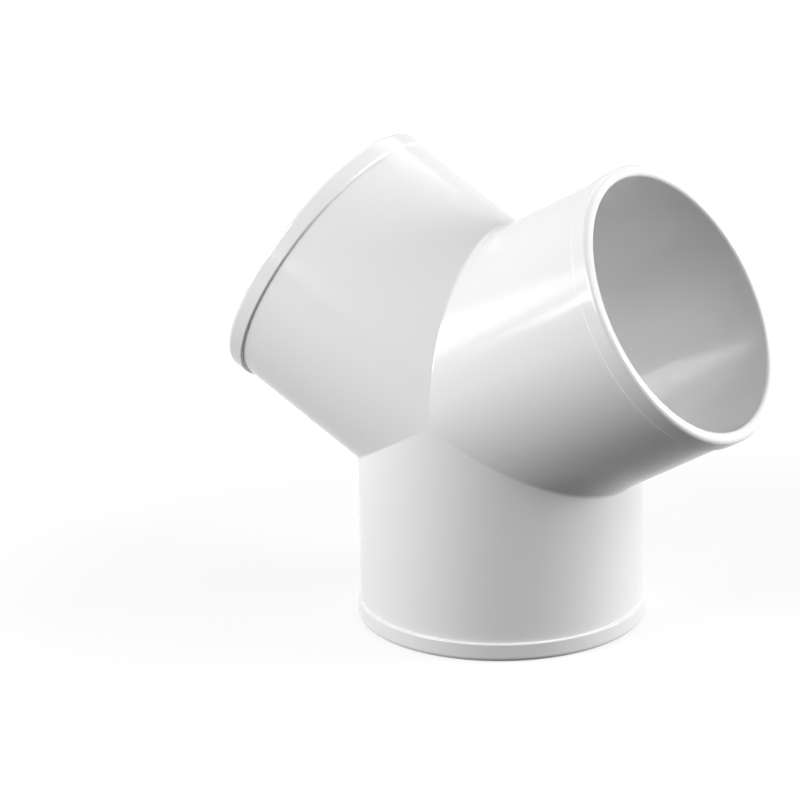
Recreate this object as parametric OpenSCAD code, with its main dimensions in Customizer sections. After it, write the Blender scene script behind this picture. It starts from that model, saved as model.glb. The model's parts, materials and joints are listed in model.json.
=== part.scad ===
// Y connector for round air ducts, moulded in one piece.
// Three equal tubes meet in one plane, and each mouth has a low bead that keeps the duct's clamp on.
// The connector stands on the mouth of its stem. The origin is the centre of that mouth, +Z runs up
// the stem, and the axes of the stem and the two arms lie in the XZ plane.

/* [Tubes] */
// Outer diameter of each tube
tube_od = 98; // [60:1:200]
// Thickness of each tube's wall
wall = 3.4; // [2.6:0.1:6]
// Angle between the axes of the two arms
arms_angle = 120; // [90:1:150]
// Straight length of each arm, from the corner where it leaves its neighbour to its mouth
arm_spigot = 52.5; // [30:0.5:120]
// Straight length of the stem, from the corner where it leaves the arms to its mouth
stem_spigot = 53; // [30:0.5:120]

/* [Mouths] */
// Width of the bead round each mouth
bead_w = 6.5; // [4:0.1:15]
// Height of the bead above the tube
bead_h = 0.9; // [0.7:0.1:3]
// Rounding of the bead's back edge
bead_edge_r = 0.4; // [0.2:0.1:0.6]
// Fillet in the corner between the bead and the tube
bead_root_r = 0.3; // [0.1:0.1:0.5]
// Rounding of the outer edge of each mouth
lip_outer_r = 1.8; // [0.4:0.1:2.5]
// Rounding of the inner edge of each mouth
lip_inner_r = 1.5; // [0.4:0.1:1.7]

/* [Seams] */
// Radius of the fillet along the outer seams, where the tubes run into each other
seam_r = 2; // [1:0.1:5]

/* [Hidden] */
$fn = 180;

tube_r = tube_od / 2;
bore_r = tube_r - wall;
bead_r = tube_r + bead_h;

// Half of the angle between the axes that meet at a seam
arms_half = arms_angle / 2;
stem_half = 90 - arms_angle / 4;

// Distance from the point where the three axes meet to each mouth
arm_len = tube_r / tan(min(arms_half, stem_half)) + arm_spigot;
stem_len = tube_r / tan(stem_half) + stem_spigot;

// How far a cutter runs past the surface that it cuts
overshoot = 1;

// Where the fillet strip of a seam ends, as an angle round the tube from the crest of the seam.
// The tubes are all but tangent there.
seam_end = 75;
// Number of steps of the strip round the tube
seam_steps = 60;
// Number of its facets across, which is odd so that no edge of one lies in the seam's own plane
seam_facets = 5;
// How deep its edges lie in the tubes
seam_sink = 0.05;
// How deep its back lies in the wall
seam_back = wall / 2;

// The material between a square corner at the origin, which points to +X +Y, and its rounding
module corner(r) {
    translate([-r, -r])
    difference() {
        square(r + overshoot);
        circle(r);
    }
}

// Half section of a tube, filled to its axis, with its bead at the mouth
module tube_section(length) {
    back = length - bead_w;
    difference() {
        union() {
            square([tube_r, length]);
            translate([0, back]) square([bead_r, bead_w]);
            intersection() {
                translate([tube_r, back]) mirror([1, 0]) corner(bead_root_r);
                translate([0, back - bead_root_r]) square([bead_r, bead_w]);
            }
        }
        translate([bead_r, length]) corner(lip_outer_r);
        translate([bead_r, back]) mirror([0, 1]) corner(bead_edge_r);
    }
}

// Half section of the space inside a tube, open past its rounded lip
module bore_section(length) {
    square([bore_r, length + overshoot]);
    translate([bore_r, length]) mirror([1, 0]) corner(lip_inner_r);
}

module along_stem() {
    rotate([0, 180, 0]) children();
}

module along_arms() {
    for (side = [-1, 1])
        rotate([0, side * arms_half, 0]) children();
}

// The fillet is the path of a ball of radius seam_r that rolls along the crease between two tubes.
// Here +X bisects the two axes, half is the angle from it to each axis, and around is the angle
// about the tubes' axes from the crest of the seam. The ball touches the tubes at -tilt and +tilt
// from the XY plane. A point of the fillet is reach from the ball's centre, at the angle across.
function tilt(half, around) = asin(cos(half) * cos(around));

function fillet_point(half, around, across, reach) =
    let (out = reach * cos(across) / cos(tilt(half, around)))
    [
        cos(around) * ((tube_r + seam_r) / sin(half) - out * sin(half)),
        sin(around) * (tube_r + seam_r - out),
        -reach * sin(across)
    ];

// One section across the fillet: a point at its back, in the wall, then the points of its arc
function fillet_section(half, around) = [
    [(tube_r - seam_back) * cos(around) / sin(half), (tube_r - seam_back) * sin(around), 0],
    for (k = [0 : seam_facets])
        let (
            across = tilt(half, around) * (2 * k / seam_facets - 1),
            sunk = k == 0 || k == seam_facets
        )
        fillet_point(half, around, across, seam_r + (sunk ? seam_sink : 0))
];

module seam_fillet(half) {
    n = seam_facets + 2;
    sections = [
        for (i = [0 : seam_steps])
            fillet_section(half, seam_end * (2 * i / seam_steps - 1))
    ];
    sides = [
        for (i = [0 : seam_steps - 1], k = [0 : n - 1])
            let (a = i * n + k, b = i * n + (k + 1) % n)
            each [[a, b + n, b], [a, a + n, b + n]]
    ];
    first = [for (k = [0 : n - 1]) k];
    last = [for (k = [n - 1 : -1 : 0]) seam_steps * n + k];
    polyhedron([for (section = sections) each section], [each sides, first, last]);
}

module seam_fillets() {
    rotate([0, -90, 0]) seam_fillet(arms_half);
    for (side = [0, 1])
        mirror([side, 0, 0])
        rotate([0, 90 - stem_half, 0]) seam_fillet(stem_half);
}

module y_connector() {
    color([0.94, 0.94, 0.94])
    translate([0, 0, stem_len])
    difference() {
        union() {
            along_stem() rotate_extrude() tube_section(stem_len);
            along_arms() rotate_extrude() tube_section(arm_len);
            seam_fillets();
        }
        along_stem() rotate_extrude() bore_section(stem_len);
        along_arms() rotate_extrude() bore_section(arm_len);
    }
}

y_connector();
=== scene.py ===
import json
import math

import bpy
import numpy as np
from mathutils import Matrix, Vector

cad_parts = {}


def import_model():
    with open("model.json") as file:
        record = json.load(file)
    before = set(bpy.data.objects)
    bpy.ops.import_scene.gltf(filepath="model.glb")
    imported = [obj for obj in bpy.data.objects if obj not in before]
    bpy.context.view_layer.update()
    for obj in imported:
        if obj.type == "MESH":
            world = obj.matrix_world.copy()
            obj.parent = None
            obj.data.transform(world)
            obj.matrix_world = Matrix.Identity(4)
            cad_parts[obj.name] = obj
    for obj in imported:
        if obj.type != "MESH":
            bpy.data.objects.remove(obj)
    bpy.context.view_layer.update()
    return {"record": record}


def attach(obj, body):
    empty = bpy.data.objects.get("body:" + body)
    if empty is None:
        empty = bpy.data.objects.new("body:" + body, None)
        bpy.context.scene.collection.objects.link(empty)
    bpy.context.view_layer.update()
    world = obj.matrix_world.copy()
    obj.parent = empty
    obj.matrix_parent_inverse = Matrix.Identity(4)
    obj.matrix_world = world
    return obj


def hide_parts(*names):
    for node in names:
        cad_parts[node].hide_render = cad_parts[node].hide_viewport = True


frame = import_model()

# Sizes in metres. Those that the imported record's mounts give are read from it.
BEAD_W = 0.0065
BEAD_EDGE_R = 0.0004
BEAD_ROOT_R = 0.0003
LIP_OUTER_R = 0.0018
LIP_INNER_R = 0.0015
SEAM_R = 0.002
MOUNTS = {m["name"]: m for m in frame["record"]["mounts"]}
TUBES = ("stem", "right_arm", "left_arm")


def radius(mount):
    return MOUNTS[mount]["dims"]["r_mm"] / 1000


def junction():
    """The point where the three axes meet, on the stem's vertical axis."""
    arm = MOUNTS["right_arm_bore"]
    x, _, z = arm["pos_m"]
    return Vector((0, 0, z - arm["axis"][2] * x / arm["axis"][0]))


TUBE_R = radius("stem_clamp_seat")
BEAD_R = radius("stem_bead")
BORE_R = radius("stem_bore")
CENTRE = np.array(junction())
AXES = {name: np.array(MOUNTS[name + "_bore"]["axis"]) for name in TUBES}
# Distance from the junction to each mouth: the bore's wall runs from there to the lip's rounding
MOUTHS = {name: MOUNTS[name + "_bore"]["dims"]["length_mm"] / 1000 + LIP_INNER_R for name in TUBES}

# Number of mesh columns round a tube, a multiple of 4, and of rows along each stretch of its wall
COLUMNS = 240
SEAM_ROWS = 8
WALL_ROWS = 14
ROUND_ROWS = 6
BORE_ROWS = 16

# The plastic: colours between which it drifts, and lengths in metres
PLASTIC_IOR = 1.5
PLASTIC_COOL = (0.845, 0.848, 0.852, 1)
PLASTIC_WARM = (0.875, 0.872, 0.866, 1)
SPECK_COLOUR = (0.76, 0.75, 0.73, 1)
CLOUD_SIZE = 0.05
SPECK_SPACING = 0.03
SPECK_R = 0.00025
GLOSS_PATCH = 0.008
ROUGHNESS = (0.12, 0.17)
PEEL_SIZE = 0.005
PEEL_DEPTH = 0.00001
GRAIN_SIZE = 0.0004
GRAIN_DEPTH = 0.0000005

# The floor where it is seen: its own glow under the part and at a distance, how far out each
# holds, and its colour under the lamps. FLOOR_BOUNCE is its colour for the light it throws up.
FLOOR_HALF = 1.6
FLOOR_GLOW = (0.75, 1.0)
FLOOR_GLOW_R = (0.15, 0.6)
FLOOR_SHADED = 0.25
FLOOR_BOUNCE = 0.05
AMBIENT = 0.08

# The camera: azimuth and elevation, and a clockwise roll, in degrees
AZIMUTH = 30.64
ELEVATION = 18.27
ROLL = -0.92
DISTANCE = 1.484
LENS = 195.0
IMAGE = 800
# Where the junction of the tubes lies in the picture, in pixels
JUNCTION_PX = (500.1, 387.8)

# The softboxes: name, yaw from the camera, elevation, width, height, radiance
LAMP_DISTANCE = 1.2
LAMPS = (
    ("key", -62, 26, 0.6, 0.6, 10.0),
    ("left", -100, 14, 0.7, 0.5, 3.2),
    ("right", 88, 14, 0.7, 0.45, 12.5),
    ("right_top", 60, 42, 1.0, 0.5, 3.0),
    ("back", 180, 45, 1.0, 0.6, 1.5),
)


def seam_rows(cos_a, sin_a, half):
    """Points and normals across one half of the seam's fillet, from its middle to the tube.

    Each row is (radial, along, point's Y, normal...) in the tube's own frame: X in the plane of the
    axes towards the neighbouring tube, Y across that plane and Z along the tube. cos_a and sin_a
    give the angle round the tube from X.
    """
    tilt = math.asin(math.cos(half) * cos_a)
    ball = np.array([(TUBE_R + SEAM_R) * cos_a / math.sin(half), (TUBE_R + SEAM_R) * sin_a, 0])
    # From the bisector's frame to the tube's
    turn = np.array([[math.sin(half), 0, -math.cos(half)], [0, 1, 0], [math.cos(half), 0, math.sin(half)]])
    rows = []
    for k in range(SEAM_ROWS + 1):
        across = tilt * k / SEAM_ROWS
        out = math.cos(across) / math.cos(tilt)
        normal = np.array([out * math.sin(half) * cos_a, out * sin_a, -math.sin(across)])
        rows.append((turn @ (ball - SEAM_R * normal), turn @ normal))
    return rows


def arc(centre_r, centre_s, r, start, stop, rows):
    """Profile points (radius, along) with normals, round an arc from start to stop degrees."""
    out = []
    for k in range(rows + 1):
        a = math.radians(start + (stop - start) * k / rows)
        n = (math.cos(a), math.sin(a))
        out.append(((centre_r + r * n[0], centre_s + r * n[1]), n))
    return out


def bead_profile(mouth):
    """The bead, the lip and the start of the bore, in half section: (radius, along) and normals."""
    back = mouth - BEAD_W
    root = [(p, (-n[0], -n[1])) for p, n in
            arc(TUBE_R + BEAD_ROOT_R, back - BEAD_ROOT_R, BEAD_ROOT_R, 180, 90, ROUND_ROWS)]
    edge = arc(BEAD_R - BEAD_EDGE_R, back + BEAD_EDGE_R, BEAD_EDGE_R, -90, 0, ROUND_ROWS)
    outer = arc(BEAD_R - LIP_OUTER_R, mouth - LIP_OUTER_R, LIP_OUTER_R, 0, 90, 2 * ROUND_ROWS)
    inner = arc(BORE_R + LIP_INNER_R, mouth - LIP_INNER_R, LIP_INNER_R, 90, 180, 2 * ROUND_ROWS)
    return root + edge + outer + inner


def column(mouth, half, cos_a, sin_a):
    """One line along a tube's wall, from the outer seam over the lip to the inner seam."""
    side = 1 if cos_a >= 0 else -1
    flip = np.array([side, 1, 1])
    rows = [(p * flip, n * flip) for p, n in seam_rows(abs(cos_a), sin_a, half)]
    ring = np.array([cos_a, sin_a, 0])
    along = np.array([0, 0, 1])
    start = rows[-1][0][2]
    profile = bead_profile(mouth)
    wall_end = profile[0][0][1]
    for k in range(1, WALL_ROWS):
        s = start + (wall_end - start) * k / WALL_ROWS
        rows.append((ring * TUBE_R + along * s, ring))
    rows += [(ring * r + along * s, ring * nr + along * ns) for (r, s), (nr, ns) in profile]
    bore_top = profile[-1][0][1]
    bore_end = BORE_R * abs(cos_a) / math.tan(half)
    for k in range(1, BORE_ROWS + 1):
        s = bore_top + (bore_end - bore_top) * k / BORE_ROWS
        rows.append((ring * BORE_R + along * s, -ring))
    return rows


def tube_grid(name):
    """Points and normals of one tube, as arrays of columns by rows, in the row frame."""
    axis = AXES[name]
    across = np.array([0.0, 1.0, 0.0])
    # Every pair of neighbouring axes makes the same angle
    half = math.acos(float(AXES["right_arm"] @ AXES["left_arm"])) / 2
    sideways = np.cross(across, axis)
    to_row = np.stack([sideways, across, axis], axis=1)
    points, normals = [], []
    for i in range(COLUMNS):
        a = 2 * math.pi * i / COLUMNS
        rows = column(MOUTHS[name], half, round(math.cos(a), 12), round(math.sin(a), 12))
        points.append([CENTRE + to_row @ p for p, _ in rows])
        normals.append([to_row @ n for _, n in rows])
    return np.array(points), np.array(normals)


def connector_mesh():
    """The whole connector as one closed mesh, with the exact normal at each corner of a face."""
    welded, vertices, faces, corner_normals = {}, [], [], []

    def vertex(p):
        key = tuple(round(float(x), 7) for x in p)
        if key not in welded:
            welded[key] = len(vertices)
            vertices.append(tuple(float(x) for x in p))
        return welded[key]

    for name in TUBES:
        points, normals = tube_grid(name)
        ids = [[vertex(p) for p in line] for line in points]
        for i in range(COLUMNS):
            j = (i + 1) % COLUMNS
            for k in range(points.shape[1] - 1):
                corners = []
                for c, r in ((i, k), (j, k), (j, k + 1), (i, k + 1)):
                    if ids[c][r] not in [v for v, _ in corners]:
                        corners.append((ids[c][r], normals[c][r]))
                if len(corners) > 2:
                    faces.append([v for v, _ in corners])
                    corner_normals += [n for _, n in corners]
    mesh = bpy.data.meshes.new("y_connector_shell")
    mesh.from_pydata(vertices, [], faces)
    mesh.shade_smooth()
    mesh.normals_split_custom_set([Vector(n).normalized() for n in corner_normals])
    return mesh


def add_node(tree, kind, inputs=None, **settings):
    """A node of this kind, with its settings, and with values for its inputs by name or number."""
    node = tree.nodes.new(kind)
    for name, value in settings.items():
        setattr(node, name, value)
    for socket, value in (inputs or {}).items():
        node.inputs[socket].default_value = value
    return node


def noise(tree, place, size, detail):
    """A soft random pattern on the object, with features about size metres across."""
    pattern = add_node(tree, "ShaderNodeTexNoise", {"Scale": 1 / size, "Detail": detail})
    tree.links.new(place.outputs["Object"], pattern.inputs["Vector"])
    return pattern.outputs["Fac"]


def spread(tree, value, low, high):
    """Spread the middle of a noise pattern over a range of values."""
    scale = add_node(tree, "ShaderNodeMapRange",
                     {"From Min": 0.3, "From Max": 0.7, "To Min": low, "To Max": high})
    tree.links.new(value, scale.inputs["Value"])
    return scale.outputs["Result"]


def bump(tree, height, depth, below=None):
    """A bump of this depth in metres, on top of another bump."""
    relief = add_node(tree, "ShaderNodeBump", {"Strength": 1, "Distance": depth})
    tree.links.new(height, relief.inputs["Height"])
    if below:
        tree.links.new(below, relief.inputs["Normal"])
    return relief.outputs["Normal"]


def plastic():
    """Glossy white moulded plastic: faint clouds and specks, uneven gloss, orange peel and grain."""
    material = bpy.data.materials.new("white_plastic")
    material.use_nodes = True
    tree = material.node_tree
    shader = tree.nodes["Principled BSDF"]
    shader.inputs["IOR"].default_value = PLASTIC_IOR
    place = add_node(tree, "ShaderNodeTexCoord")

    clouds = add_node(tree, "ShaderNodeMix", {"A": PLASTIC_COOL, "B": PLASTIC_WARM}, data_type="RGBA")
    tree.links.new(noise(tree, place, CLOUD_SIZE, 3), clouds.inputs["Factor"])
    grit = add_node(tree, "ShaderNodeTexVoronoi", {"Scale": 1 / SPECK_SPACING})
    tree.links.new(place.outputs["Object"], grit.inputs["Vector"])
    near = add_node(tree, "ShaderNodeMath", {1: SPECK_R / SPECK_SPACING}, operation="LESS_THAN")
    tree.links.new(grit.outputs["Distance"], near.inputs[0])
    specks = add_node(tree, "ShaderNodeMix", {"B": SPECK_COLOUR}, data_type="RGBA")
    tree.links.new(near.outputs[0], specks.inputs["Factor"])
    tree.links.new(clouds.outputs["Result"], specks.inputs["A"])
    tree.links.new(specks.outputs["Result"], shader.inputs["Base Color"])

    gloss = spread(tree, noise(tree, place, GLOSS_PATCH, 4), *ROUGHNESS)
    tree.links.new(gloss, shader.inputs["Roughness"])
    peel = bump(tree, noise(tree, place, PEEL_SIZE, 1), PEEL_DEPTH)
    grain = bump(tree, noise(tree, place, GRAIN_SIZE, 2), GRAIN_DEPTH, peel)
    tree.links.new(grain, shader.inputs["Normal"])
    return material


def seen_directly(tree):
    """1 for the rays that show floor or world: the camera's, and those mirrored or let through."""
    path = add_node(tree, "ShaderNodeLightPath")
    total = path.outputs["Is Camera Ray"]
    for kind in ("Is Glossy Ray", "Is Transmission Ray"):
        either = add_node(tree, "ShaderNodeMath", operation="MAXIMUM")
        tree.links.new(total, either.inputs[0])
        tree.links.new(path.outputs[kind], either.inputs[1])
        total = either.outputs[0]
    return total


def grey(value):
    return (value, value, value, 1)


def floor():
    """A plain floor that looks white and keeps the shadow, and throws little light back up."""
    mesh = bpy.data.meshes.new("floor")
    r = FLOOR_HALF
    mesh.from_pydata([(-r, -r, 0), (r, -r, 0), (r, r, 0), (-r, r, 0)], [], [(0, 1, 2, 3)])
    obj = bpy.data.objects.new("floor", mesh)
    bpy.context.scene.collection.objects.link(obj)
    material = bpy.data.materials.new("floor")
    material.use_nodes = True
    tree = material.node_tree
    tree.nodes.clear()
    dull = add_node(tree, "ShaderNodeBsdfDiffuse", {"Color": grey(FLOOR_BOUNCE)})
    lit = add_node(tree, "ShaderNodeBsdfDiffuse", {"Color": grey(FLOOR_SHADED)})
    place = add_node(tree, "ShaderNodeTexCoord")
    away = add_node(tree, "ShaderNodeVectorMath", operation="LENGTH")
    tree.links.new(place.outputs["Object"], away.inputs[0])
    rise = add_node(tree, "ShaderNodeMapRange",
                    {"From Min": FLOOR_GLOW_R[0], "From Max": FLOOR_GLOW_R[1],
                     "To Min": FLOOR_GLOW[0], "To Max": FLOOR_GLOW[1]})
    tree.links.new(away.outputs["Value"], rise.inputs["Value"])
    glow = add_node(tree, "ShaderNodeEmission")
    tree.links.new(rise.outputs["Result"], glow.inputs["Strength"])
    white = add_node(tree, "ShaderNodeAddShader")
    tree.links.new(lit.outputs[0], white.inputs[0])
    tree.links.new(glow.outputs[0], white.inputs[1])
    mix = add_node(tree, "ShaderNodeMixShader")
    tree.links.new(seen_directly(tree), mix.inputs["Fac"])
    tree.links.new(dull.outputs[0], mix.inputs[1])
    tree.links.new(white.outputs[0], mix.inputs[2])
    out = add_node(tree, "ShaderNodeOutputMaterial")
    tree.links.new(mix.outputs[0], out.inputs["Surface"])
    mesh.materials.append(material)


def world():
    """White behind the floor's edge and in reflections, and next to no light of its own."""
    studio = bpy.data.worlds.new("studio")
    studio.use_nodes = True
    bpy.context.scene.world = studio
    tree = studio.node_tree
    tree.nodes.clear()
    dim = add_node(tree, "ShaderNodeBackground", {"Color": grey(1), "Strength": AMBIENT})
    white = add_node(tree, "ShaderNodeBackground", {"Color": grey(1), "Strength": 1})
    mix = add_node(tree, "ShaderNodeMixShader")
    tree.links.new(seen_directly(tree), mix.inputs["Fac"])
    tree.links.new(dim.outputs[0], mix.inputs[1])
    tree.links.new(white.outputs[0], mix.inputs[2])
    out = add_node(tree, "ShaderNodeOutputWorld")
    tree.links.new(mix.outputs[0], out.inputs["Surface"])


def direction(azimuth, elevation):
    a, e = math.radians(azimuth), math.radians(elevation)
    return Vector((math.sin(a) * math.cos(e), -math.cos(a) * math.cos(e), math.sin(e)))


def camera():
    """The photograph's view: it looks back along direction(AZIMUTH, ELEVATION), a little rolled."""
    data = bpy.data.cameras.new("camera")
    data.lens = LENS
    data.clip_start, data.clip_end = 0.05, 50
    obj = bpy.data.objects.new("camera", data)
    bpy.context.scene.collection.objects.link(obj)
    back = direction(AZIMUTH, ELEVATION)
    level = Vector((math.cos(math.radians(AZIMUTH)), math.sin(math.radians(AZIMUTH)), 0))
    rise = back.cross(level)
    c, s = math.cos(math.radians(ROLL)), math.sin(math.radians(ROLL))
    right = c * level + s * rise
    up = c * rise - s * level
    # Size of a pixel at the junction's distance
    pixel = DISTANCE * data.sensor_width / LENS / IMAGE
    place = Vector(CENTRE) + back * DISTANCE
    place -= right * (JUNCTION_PX[0] - IMAGE / 2) * pixel
    place += up * (JUNCTION_PX[1] - IMAGE / 2) * pixel
    turn = Matrix((right, up, back)).transposed().to_4x4()
    obj.matrix_world = Matrix.Translation(place) @ turn
    bpy.context.scene.camera = obj


def softbox(name, yaw, elevation, width, height, radiance):
    """A soft lamp that faces the connector, turned by yaw degrees from the camera's side.

    Its radiance is what a perfect mirror would show of it, where 1 is the white of the floor.
    """
    data = bpy.data.lights.new(name, "AREA")
    data.shape = "RECTANGLE"
    data.size, data.size_y = width, height
    data.energy = radiance * width * height * math.pi
    obj = bpy.data.objects.new(name, data)
    bpy.context.scene.collection.objects.link(obj)
    back = direction(AZIMUTH + yaw, elevation)
    obj.location = Vector(CENTRE) + back * LAMP_DISTANCE
    obj.rotation_euler = back.to_track_quat("Z", "Y").to_euler()
    obj.visible_camera = False


def connector():
    shell = bpy.data.objects.new("connector_shell", connector_mesh())
    bpy.context.scene.collection.objects.link(shell)
    shell.data.materials.append(plastic())
    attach(shell, "root")
    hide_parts("y_connector")


connector()
floor()
world()
camera()
for lamp in LAMPS:
    softbox(*lamp)
bpy.context.scene.view_settings.view_transform = "Standard"
